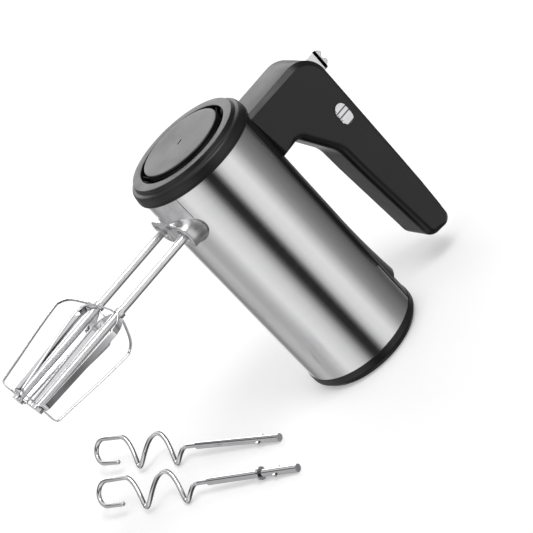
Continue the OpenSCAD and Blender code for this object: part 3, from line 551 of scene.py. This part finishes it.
def collar_ring(grow, share, front):
    """One outline round both bosses; share runs from 0 at the front to 1 at the drum."""
    ring = []
    for side in (1, -1):
        for k in range(ARC_STEPS + 1):
            t = math.radians(-90 + 180 * k / ARC_STEPS)
            flare = grow * (0.4 + 0.6 * math.cos(t) ** 2) if grow > 0 else grow
            radius = BOSS_R + flare
            ring.append((side * (HALF_GAP + radius * math.cos(t)), side * radius * math.sin(t)))
        for k in range(1, LINE_STEPS):
            y = HALF_GAP * (1 - 2 * k / LINE_STEPS)
            up = BOSS_R + (0.4 * grow if grow > 0 else grow)
            ring.append((side * y, side * up * (1 - SADDLE_WAIST * saddle_share(y) * (1 - share))))
    result = []
    for y, z in ring:
        drum = -math.sqrt(max(1.0, R ** 2 - y ** 2)) + 0.3
        x = front + SADDLE_SINK * saddle_share(y) * (1 - share) if abs(y) < HALF_GAP else front
        result.append((x + (drum - x) * share, y, SPINDLE_Z + z))
    return result


def weld(obj, distance=0.002):
    """Joins points that lie in the same place."""
    shape = bmesh.new()
    shape.from_mesh(obj.data)
    bmesh.ops.remove_doubles(shape, verts=shape.verts, dist=distance * MM)
    bmesh.ops.recalc_face_normals(shape, faces=shape.faces)
    shape.to_mesh(obj.data)
    shape.free()


def collar():
    """Saddle with two sockets."""
    front = -(R + 2.0)
    back = -(R - 16.0)
    lip = -0.8
    # how much wider than the bosses each ring is, and how far it has come from the front to the drum
    levels = [(lip, 0.0), (-0.4, 0.015), (-0.1, 0.05), (0.0, 0.12), (0.0, 0.35), (0.4, 0.55), (1.1, 0.75),
              (2.2, 0.9), (3.4, 1.0)]
    rings = [collar_ring(grow, share, front) for grow, share in levels]
    rings.append([(back, y, z) for x, y, z in rings[-1]])
    points, faces = loft(rings, closed_ends=False)
    turns = 2 * ARC_STEPS
    sections = ((BOSS_R + lip, front), (6.4, front), (6.15, front + 0.2), (5.9, front + 1.2),
                (BORE_R, front + 2.0), (BORE_R, back))
    for side in (1, -1):
        bore = []
        for radius, x in sections:
            circle = [polar(radius, -90 + 360 * k / turns) for k in range(turns)]
            bore.append([(x, side * HALF_GAP + p.x, SPINDLE_Z + p.y) for p in circle])
        add_shape(points, faces, *loft(bore, closed_ends=False))
    # the saddle's front between the two bosses
    start = len(points)
    for i in range(LINE_STEPS + 1):
        across = 1 - 2 * i / LINE_STEPS
        for j in range(ARC_STEPS + 1):
            b = math.radians(-90 + 180 * j / ARC_STEPS)
            y = across * (HALF_GAP - (BOSS_R + lip) * math.cos(b))
            low = saddle_share(across * HALF_GAP)
            z = (BOSS_R + lip) * math.sin(b) * (1 - SADDLE_WAIST * low)
            points.append((front + SADDLE_SINK * low, y, SPINDLE_Z + z))
    for i in range(LINE_STEPS):
        for j in range(ARC_STEPS):
            a = start + i * (ARC_STEPS + 1) + j
            faces.append((a, a + 1, a + ARC_STEPS + 2, a + ARC_STEPS + 1))
    # the flat back, inside the drum
    count = len(rings[0])
    last = (len(rings) - 1) * count
    holes = [len(rings) * count + ((n + 1) * len(sections) - 1) * turns for n in (0, 1)]
    index = list(range(last, last + count)) + [h + k for h in holes for k in range(turns)]
    loops = [[Vector((points[k][1], points[k][2], 0)) for k in part]
             for part in (index[:count], index[count:count + turns], index[count + turns:])]
    faces += [tuple(index[k] for k in triangle) for triangle in tessellate_polygon(loops)]
    saddle = piece("collar_saddle", points, faces, "housing", "chrome", "socket_collar", angle=50)
    weld(saddle)
    saddle.data.set_sharp_from_angle(angle=math.radians(48))
    saddle.data.materials[0] = SATIN


def tongue():
    """The plate that runs from the saddle up to the front cap."""
    half = TONGUE_HALF - 0.3
    angles = steps_between([180 - half, 180 - half + 0.35, 180 + half - 0.35, 180 + half], 1.5)
    levels = steps_between([SPINDLE_Z, SEAM_FRONT - 0.05], 3)

    def outer(theta, z):
        return R + (0.2 if abs(theta - 180) < half - 0.3 else -0.05)

    points, faces = wall(angles, levels, lambda a, z: True, outer, lambda a, z: R - 1.8)
    plate = piece("collar_tongue", points, faces, "housing", "chrome")
    plate.data.materials[0] = SATIN


# ---------- handle ----------
# Edges of the handle that turn by more than this many degrees are drawn sharp
HANDLE_ANGLE = 22


def slab(points, half_width, edge, steps=5):
    """A flat-sided body across Y from an outline in X and Z.

    Each outline point comes with its corner's number, and edge gives that corner's edge width and how round it is,
    from 0 for a chamfer to 1 for a quarter circle.
    """
    count = len(points)
    normals = []
    for k in range(count):
        along = (points[(k + 1) % count][0] - points[k - 1][0]).normalized()
        normals.append(Vector((along.y, -along.x)))
    area = sum(points[k - 1][0].cross(points[k][0]) for k in range(count))
    outward = 1 if area > 0 else -1
    rings = []
    for side in (-1, 1):
        for k in (range(steps + 1) if side < 0 else range(steps, -1, -1)):
            ring = []
            for (p, corner), n in zip(points, normals):
                width, curve = edge(corner)
                share = k / steps
                angle = share * math.pi / 2
                inset = width * ((1 - math.sin(angle)) * curve + (1 - share) * (1 - curve))
                drop = width * ((1 - math.cos(angle)) * curve + share * (1 - curve))
                q = p - n * outward * inset
                ring.append((q.x, side * (half_width - drop), q.y))
            rings.append(ring)
    return loft(rings)


def handle():
    """Neck and pistol grip, with the recess that the slider runs in."""
    neck_low = NECK_TOP - 40
    grip_x = R + 30.5
    tip_x = grip_x + 6.5
    inner_x = R - 6
    underside = range(6)
    round_edge, chamfer = (6.0, 1.0), (3.2, 0.0)
    recess, recess_x, recess_z = 1.3, 1.3, 3.5
    outline = [(inner_x, neck_low, 0), (grip_x - 17.5, neck_low, 5), (grip_x - 1, neck_low - 29, 22),
               (grip_x + 0.4, neck_low - 52, 30), (tip_x - 0.4, TIP_Z + 13, 14), (tip_x + 0.4, TIP_Z + 0.5, 9.5),
               (SPINE_X - 1.5, TIP_Z, 7), (SPINE_X, TIP_Z + 40, 40), (SPINE_X, NECK_TOP, SPINE_CORNER_R),
               (inner_x, NECK_TOP, 0)]
    points, faces = slab(rounded(outline, 10), SIDE_Y,
                         lambda corner: round_edge if corner in underside else chamfer, steps=6)
    body = piece("handle_shell", points, faces, "housing", "black_plastic", "handle_body", angle=HANDLE_ANGLE)
    x = (SLIDER_LOW.x + SLIDER_HIGH.x) / 2
    z = (SLIDER_LOW.z + SLIDER_HIGH.z) / 2 - 2.2  # half of the slider's travel lower
    ring = stadium((SLIDER_HIGH.x - SLIDER_LOW.x) / 2 + recess_x, (SLIDER_HIGH.z - SLIDER_LOW.z) / 2 + recess_z)
    cut(body, *loft([[(x + p.x, y, z + p.y) for p in ring] for y in (-SIDE_Y - 3, -SIDE_Y + recess)]))
    body.data.set_sharp_from_angle(angle=math.radians(HANDLE_ANGLE))
    flat_normals(body)


def flat_normals(obj):
    """Keeps large flat faces flat where they run into rounded edges."""
    change = obj.modifiers.new("normals", "WEIGHTED_NORMAL")
    change.keep_sharp = True


def stadium(half_w, half_l, steps=12):
    """An upright outline with round ends."""
    points = []
    for side in (1, -1):
        for k in range(steps + 1):
            t = math.pi * k / steps
            points.append(Vector((side * half_w * math.cos(t), side * (half_l - half_w + half_w * math.sin(t)))))
    return points


def spine_cover():
    """The long cover strip that closes the handle's two halves along neck and spine."""
    half, lift, sink, gap = 15.4, 0.22, 1.2, 0.5
    path = [Vector((R - 4, NECK_TOP))]
    path += arc_corner(Vector((0, NECK_TOP)), Vector((SPINE_X, NECK_TOP)), Vector((SPINE_X, 0)), SPINE_CORNER_R, 20)
    path += [Vector((SPINE_X, 120)), Vector((SPINE_X, 80)), Vector((SPINE_X - 0.15, 55)),
             Vector((SPINE_X - 0.9, TIP_Z + 14)), Vector((SPINE_X - 1.1, TIP_Z + 12))]
    section = outline_of([(-half, lift, 0.5), (half, lift, 0.5), (half, -sink, 0), (-half, -sink, 0)], 4)
    rings = []
    for k, p in enumerate(path):
        along = (path[min(k + 1, len(path) - 1)] - path[max(k - 1, 0)]).normalized()
        out = Vector((-along.y, along.x))
        rings.append([(p.x + out.x * h, y, p.y + out.y * h) for y, h in section])
    points, faces = loft(rings)
    cover = piece("spine_cover", points, faces, "housing", "black_plastic", "handle_cover", angle=40)
    y0, y1 = BUTTON_LOW.y - gap, BUTTON_HIGH.y + gap
    z0, z1 = BUTTON_LOW.z - gap, BUTTON_HIGH.z + gap
    box = [[(x, y0, z0), (x, y1, z0), (x, y1, z1), (x, y0, z1)] for x in (BUTTON_LOW.x - 4, SPINE_X + 4)]
    cut(cover, *loft(box))


def slider():
    """Speed slider: a stadium with a low lower third, then two broad cross ridges above it."""
    x = (SLIDER_LOW.x + SLIDER_HIGH.x) / 2
    z = (SLIDER_LOW.z + SLIDER_HIGH.z) / 2
    half_w, half_l = (SLIDER_HIGH.x - SLIDER_LOW.x) / 2, (SLIDER_HIGH.z - SLIDER_LOW.z) / 2
    top = SLIDER_LOW.y
    step_at = -half_l * 0.34
    step_drop, ridge_drop, ridge_pitch, end_drop, end_run = 0.75, 0.55, 3.9, 0.6, 2.2
    edge_drop, edge_from = 0.5, 0.86
    across = steps_between([-1.0, 1.0], 0.1)
    along = steps_between([-half_l, step_at - 0.1, step_at + 0.1, half_l], 0.35)

    def drop(v):
        """How far the face stands back from the slider's highest line."""
        low_third = step_drop * (1 - smoothstep((v - step_at + 0.15) / 0.3))
        ridge = ridge_drop * (1 - math.cos(2 * math.pi * (v - step_at) / ridge_pitch)) / 2 if v > step_at else 0.0
        end = end_drop * smoothstep((abs(v) - half_l + end_run) / end_run) ** 2
        return low_third + ridge + end

    def width(v):
        over = max(0.0, abs(v) - (half_l - half_w))
        return math.sqrt(max(0.02, half_w ** 2 - over ** 2))

    points, faces = [], []
    for depth in (0, 1):
        for v in along:
            for u in across:
                w = width(v)
                edge = edge_drop * smoothstep((abs(u) - edge_from) / (1 - edge_from)) ** 2
                y = -SIDE_Y + 1.0 if depth else top + drop(v) + edge
                points.append((x + u * w, y, z + v))
    columns, rows = len(across), len(along)
    under = columns * rows
    for j in range(rows - 1):
        for i in range(columns - 1):
            a = j * columns + i
            faces.append((a, a + 1, a + columns + 1, a + columns))
            faces.append((under + a, under + a + columns, under + a + columns + 1, under + a + 1))
        a = j * columns
        faces.append((a, a + columns, under + a + columns, under + a))
        a += columns - 1
        faces.append((a, under + a, under + a + columns, a + columns))
    for i in range(columns - 1):
        faces.append((i, under + i, under + i + 1, i + 1))
        a = (rows - 1) * columns + i
        faces.append((a, a + 1, under + a + 1, under + a))
    piece("slider_button", points, faces, "speed_slider", "chrome", "speed_slider", angle=40)


def eject():
    """Eject button with two ripples across its face."""
    low, high = BUTTON_LOW, BUTTON_HIGH
    side_x = high.x - 3.2
    ripple, end_round, inset = 1.1, 3, 0.3
    outline = [(Vector((low.x, low.z)), 0), (Vector((side_x, low.z)), 0)]
    count = 28
    for k in range(count + 1):
        t = k / count
        dip = ripple * math.cos(4 * math.pi * (t - 0.25)) - end_round * abs(2 * t - 1) ** 6
        z = low.z + inset + (high.z - low.z - 2 * inset) * t
        outline.append((Vector((high.x - ripple - 0.1 + dip, z)), 0))
    outline += [(Vector((side_x, high.z)), 0), (Vector((low.x, high.z)), 0)]
    points, faces = slab(outline, (high.y - low.y) / 2, lambda corner: (0.5, 1.0), steps=4)
    key = piece("eject_key", points, faces, "ejector", "chrome", "eject_button", angle=40)
    key.data.materials[0] = SATIN


# ---------- beaters ----------
def smooth_path(corners, steps=6):
    """A smooth open curve through a few points."""
    result = []
    for i in range(len(corners) - 1):
        p0, p1 = corners[max(i - 1, 0)], corners[i]
        p2, p3 = corners[i + 1], corners[min(i + 2, len(corners) - 1)]
        for k in range(steps):
            t = k / steps
            result.append(0.5 * (2 * p1 + (p2 - p0) * t + (2 * p0 - 5 * p1 + 4 * p2 - p3) * t ** 2
                                 + (3 * p1 - p0 - 3 * p2 + p3) * t ** 3))
    return result + [corners[-1]]


# Distance from the cage's top, and radius of its outer face there
CAGE_SHAPE = [(0.0, 3.1), (0.6, 6.0), (2.2, 10.0), (5.5, 16.7), (8.8, 20.5), (12.8, 22.7), (16.8, 23.4),
              (36.5, 21.6), (59.8, 18.7), (74.5, 17.0), (77.6, 16.5), (79.2, 15.3), (79.9, 13.0), (80.0, 8.0),
              (80.0, 3.1)]


def cage(side, name, turn):
    """Four bent strips round a beater's shaft."""
    top, end = CAGE_HIGH.x, CAGE_LOW.x
    scale = (top - end) / CAGE_SHAPE[-1][0]
    path = smooth_path([Vector((top - x * scale, r)) for x, r in CAGE_SHAPE])
    thick, half = 0.9, 2.2
    section = outline_of([(-half, 0, 0.4), (half, 0, 0.4), (half, -thick, 0.3), (-half, -thick, 0.3)], 3)
    points, faces = [], []
    for quarter in range(4):
        angle = math.radians(turn + 90 * quarter)
        rings = []
        for k, p in enumerate(path):
            along = (path[min(k + 1, len(path) - 1)] - path[max(k - 1, 0)]).normalized()
            out = Vector((along.y, -along.x))
            ring = []
            for across, depth in section:
                # the strip narrows where it meets the shaft
                narrow = min(1.0, 0.45 + p.y / 12)
                radius = p.y + out.y * depth
                x = p.x + out.x * depth
                y = radius * math.cos(angle) - across * narrow * math.sin(angle)
                z = radius * math.sin(angle) + across * narrow * math.cos(angle)
                ring.append((x, side * HALF_GAP + y, SPINDLE_Z + z))
            rings.append(ring)
        add_shape(points, faces, *loft(rings))
    piece("whisk_strips_" + name, points, faces, "beater_" + name[0], "chrome", "beater_cage_" + name, angle=45)


# ---------- dough hooks ----------
HOOK_L = 205.0
HOOK_WIRE_R = 1.9
HOOK_TUBE_R = 2.95
# The wave's height, where it starts, its length, its number of turns and its flatter half width
HOOK_WAVE = 12.0
HOOK_WAVE_X = 0.48 * HOOK_L
HOOK_WAVE_L = 0.365 * HOOK_L
HOOK_TURNS = 1.75
HOOK_FLAT = 3.0
HOOK_ROLL = 40
# X, Y and compass direction of each hook's middle
HOOK_PLACES = {"left": (-133.0, 98.0, 112.0), "right": (-155.0, 48.0, 116.0)}


def hook_matrix(name):
    """Where the part's own source lays a hook: on its drive end and its first wave."""
    x, y, direction = HOOK_PLACES[name]
    roll = math.radians(HOOK_ROLL)
    low = math.hypot(HOOK_WAVE * math.sin(roll), HOOK_FLAT * math.cos(roll)) + HOOK_WIRE_R
    pitch = math.asin((low - HOOK_TUBE_R) / (HOOK_WAVE_X + HOOK_WAVE_L / HOOK_TURNS / 4))
    return (Matrix.Translation((x, y, 0)) @ Matrix.Rotation(math.radians(direction), 4, "Z")
            @ Matrix.Translation((-HOOK_L / 2, 0, 3.0)) @ Matrix.Rotation(-pitch, 4, "Y")
            @ Matrix.Rotation(-roll, 4, "X"))


def hook_wire(name):
    """Bent wire of a hook: a wave, an eye bend and a straight end with a rounded tip."""
    tube_l = 0.42 * HOOK_L
    bend = 0.8 * HOOK_WAVE
    path = [Vector((x, 0, 0)) for x in (tube_l - 5, tube_l, HOOK_WAVE_X - 6, HOOK_WAVE_X - 2)]
    waves = 84
    for i in range(waves + 1):
        t = i / waves
        size = math.sin(min(1, t * 4 * HOOK_TURNS) * math.pi / 2)
        angle = 2 * math.pi * HOOK_TURNS * t
        path.append(Vector((HOOK_WAVE_X + HOOK_WAVE_L * t, HOOK_WAVE * size * math.sin(angle),
                            HOOK_FLAT * size * math.cos(angle))))
    eye = HOOK_L - bend - HOOK_WIRE_R
    for i in range(25):
        a = math.pi * i / 24
        path.append(Vector((eye + bend * math.sin(a), -HOOK_WAVE + bend * (1 - math.cos(a)), 0)))
    path.append(Vector((eye - 16, 2 * bend - HOOK_WAVE, 0)))
    place = hook_matrix(name)
    radius = HOOK_WIRE_R - 0.05
    ring_count = 16

    def round_ring(p, normal, across, radius):
        turns = (2 * math.pi * j / ring_count for j in range(ring_count))
        return [place @ (p + radius * (math.cos(t) * normal + math.sin(t) * across)) for t in turns]

    rings = []
    normal = Vector((0, 0, 1))
    for k, p in enumerate(path):
        along = (path[min(k + 1, len(path) - 1)] - path[max(k - 1, 0)]).normalized()
        normal = (normal - along * normal.dot(along)).normalized()
        across = along.cross(normal)
        rings.append(round_ring(p, normal, across, radius))
    for degrees in (30, 55, 75):
        t = math.radians(degrees)
        rings.append(round_ring(p + along * radius * math.sin(t), normal, across, radius * math.cos(t)))
    points, faces = loft(rings)
    piece("hook_bend_" + name, points, faces, "hook_" + name[0], "chrome", "hook_wire_" + name, angle=50)


# ---------- studio ----------
def flat_material(name, colour, glow):
    material, tree, shader = new_material(name)
    shader.inputs["Base Color"].default_value = (*colour, 1)
    shader.inputs["Roughness"].default_value = 0.9
    shader.inputs["Specular IOR Level"].default_value = 0.0
    shader.inputs["Emission Color"].default_value = (1, 1, 1, 1)
    shader.inputs["Emission Strength"].default_value = glow
    return material


# Brightness of the soft panels round the mixer, by compass direction in degrees
PANELS = [(-180, 0.78), (-165, 1.1), (-150, 1.0), (-138, 0.85), (-127, 0.5), (-119, 0.14), (-113, 0.03),
          (-102, 0.02), (-97, 0.18), (-90, 0.68), (-80, 1.0), (-62, 1.1), (-48, 0.75), (-36, 0.42), (-22, 0.28),
          (0, 0.18), (14, 0.11), (24, 0.12), (36, 0.55), (75, 1.0), (92, 1.0), (100, 0.45), (106, 0.22),
          (118, 0.4), (130, 0.6), (145, 0.7), (157, 0.55), (170, 0.6), (180, 0.78)]
# The same by height, from straight down to straight up: dark gaps below and above the panels
BANDS = [(-1, 0.35), (-0.78, 0.12), (-0.64, 0.9), (0.52, 1.0), (0.60, 0.12), (0.70, 0.12), (1, 1.0)]

# Heights over which the panels give way to the ceiling, its brightness, and that of the backdrop the camera sees
CEILING = (0.70, 0.80)
OVERHEAD = 0.95
BACKDROP = 0.95


def grey(level):
    return level, level, level, 1


def colour_ramp(tree, share, levels, low, high):
    """Grey levels at chosen places of a scale that runs from low to high."""
    node = tree.nodes.new("ShaderNodeValToRGB")
    tree.links.new(share, node.inputs["Fac"])
    stops = node.color_ramp.elements
    stops[0].position, stops[1].position = 0.0, 1.0
    for place, level in levels[1:-1]:
        stops.new((place - low) / (high - low))
    for stop, (place, level) in zip(stops, levels):
        stop.color = grey(level)
    return node.outputs["Color"]


def soft_world():
    """Tall soft panels round the mixer with a dark gap between two of them, and a pale ceiling."""
    world = bpy.data.worlds.new("world")
    scene.world = world
    world.use_nodes = True
    tree = world.node_tree
    background = tree.nodes["Background"]
    place = tree.nodes.new("ShaderNodeTexCoord")
    split = tree.nodes.new("ShaderNodeSeparateXYZ")
    tree.links.new(place.outputs["Generated"], split.inputs["Vector"])
    compass = add(tree, "ShaderNodeMath", operation="ARCTAN2")
    tree.links.new(split.outputs["Y"], compass.inputs[0])
    tree.links.new(split.outputs["X"], compass.inputs[1])
    share = spread(tree, compass.outputs[0], -math.pi, math.pi, 0, 1)
    panels = colour_ramp(tree, share, PANELS, -180, 180)
    bands = colour_ramp(tree, spread(tree, split.outputs["Z"], -1, 1, 0, 1), BANDS, -1, 1)
    shaded = mix(tree, 1.0, panels, bands, "MULTIPLY")
    level = mix(tree, spread(tree, split.outputs["Z"], *CEILING, 0, 1), shaded, grey(OVERHEAD))
    rays = tree.nodes.new("ShaderNodeLightPath")
    seen = mix(tree, rays.outputs["Is Camera Ray"], level, grey(BACKDROP))
    tree.links.new(seen, background.inputs["Color"])
    background.inputs["Strength"].default_value = 1.0


def area_light(name, direction, distance, width, height, radiance):
    """A soft panel that lies in a direction from the mixer and faces it."""
    data = bpy.data.lights.new(name, "AREA")
    data.shape = "RECTANGLE"
    data.size = width
    data.size_y = height
    data.energy = radiance * math.pi * width * height
    light = bpy.data.objects.new(name, data)
    scene.collection.objects.link(light)
    aim = Vector((0, 0, 0.1))
    light.location = aim + Vector(direction).normalized() * distance
    light.rotation_euler = (aim - light.location).to_track_quat("-Z", "Y").to_euler()
    light.visible_camera = False


def studio():
    """Pale floor, soft surroundings and two area lights."""
    reach = 6
    floor = mesh_object("floor", [(-reach, -reach, 0), (reach, -reach, 0), (reach, reach, 0), (-reach, reach, 0)],
                        [(0, 1, 2, 3)])
    floor.data.materials.append(flat_material("floor", (0.82, 0.82, 0.82), 0.3))
    floor.visible_glossy = False
    soft_world()
    area_light("key_light", (0.24, -0.39, 0.85), 2.0, 0.8, 0.8, 6.0)
    area_light("back_light", (0.24, 0.88, 0.41), 2.5, 2.4, 1.2, 1.9)
    scene.view_settings.view_transform = "Standard"


place_camera()
finish_cad_nodes()
sleeve()
strip()
front_cap()
vent_disc()
collar()
tongue()
handle()
spine_cover()
slider()
eject()
cage(1, "left", 53)
cage(-1, "right", -8)
hook_wire("left")
hook_wire("right")
studio()
